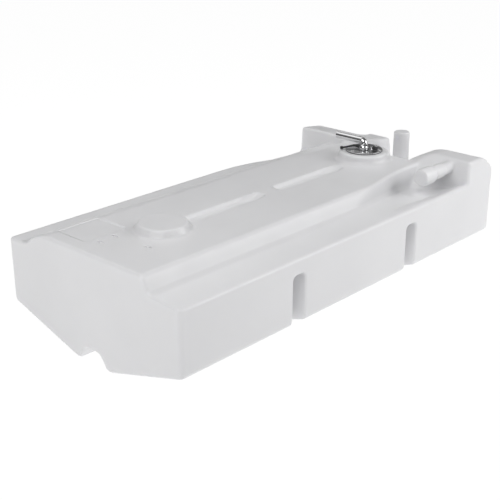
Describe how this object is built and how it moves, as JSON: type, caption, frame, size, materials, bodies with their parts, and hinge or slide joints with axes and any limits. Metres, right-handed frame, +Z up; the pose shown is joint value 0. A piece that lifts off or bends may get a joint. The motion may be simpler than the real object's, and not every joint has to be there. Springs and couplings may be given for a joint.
{
  "type": "fresh water tank",
  "caption": "Long white moulded water tank with a V bottom, strap grooves, moulded hose spigots, and a steel flange with a draw-off tube, level sender and vent.",
  "frame": {"origin": "under the middle of the tank, on the surface that it stands on", "axes": "+X along the tank to the end with the fittings, +Y from its front side with the strap grooves and side spigot to its back, +Z up"},
  "size_m": [1.107, 0.54, 0.3018],
  "materials": {
    "white_polyethylene": "natural translucent white, rotomoulded, faint orange peel",
    "stainless_steel": "satin",
    "chrome": "polished plating",
    "brass": "turned",
    "black_rubber": "matt",
    "black_plastic": "semi-gloss moulded",
    "grey_float": "closed-cell foam skin"
  },
  "bodies": {
    "tank": {"tank_shell": "white_polyethylene", "flange_gasket": "black_rubber", "flange_plate": "stainless_steel", "dip_tube": "stainless_steel", "foot_strainer": "black_plastic", "outlet_seal": "black_rubber", "outlet_nut": "stainless_steel", "sender_head": "chrome", "sender_seal": "black_rubber", "sender_locknut": "brass", "sender_stem": "stainless_steel", "float_stop_lower": "brass", "float_stop_upper": "brass", "cable_gland": "black_plastic", "sender_lead": "black_plastic", "lead_connector": "black_plastic", "vent_stub": "chrome", "drain_insert": "brass", "flange_screw_1": "stainless_steel", "flange_screw_2": "stainless_steel", "flange_screw_3": "stainless_steel", "flange_screw_4": "stainless_steel", "flange_screw_5": "stainless_steel", "flange_screw_6": "stainless_steel", "threaded_insert_1": "brass", "threaded_insert_2": "brass", "threaded_insert_3": "brass", "threaded_insert_4": "brass", "threaded_insert_5": "brass", "threaded_insert_6": "brass"},
    "sender_float": {"sender_float": "grey_float"},
    "outlet": {"outlet_tube": "chrome"},
    "vent_cap": {"vent_cap": "black_plastic"},
    "drain_plug": {"drain_plug": "black_plastic", "drain_seal": "black_rubber"}
  },
  "joints": [
    {"name": "float_slide", "type": "slide", "parent": "tank", "child": "sender_float", "axis": [0, 0, 1], "range_m": [0, 0.135]},
    {"name": "outlet_swivel", "type": "hinge", "parent": "tank", "child": "outlet", "pos_m": [0.361, -0.002, 0.2825], "axis": [0, 0, 1], "range_deg": [-120, 30]},
    {"name": "vent_cap_pull", "type": "slide", "parent": "tank", "child": "vent_cap", "axis": [0, -1, 0], "range_m": [0, 0.015]},
    {"name": "drain_plug_unscrew", "type": "slide", "parent": "tank", "child": "drain_plug", "axis": [1, 0, 0], "range_m": [0, 0.016]}
  ]
}
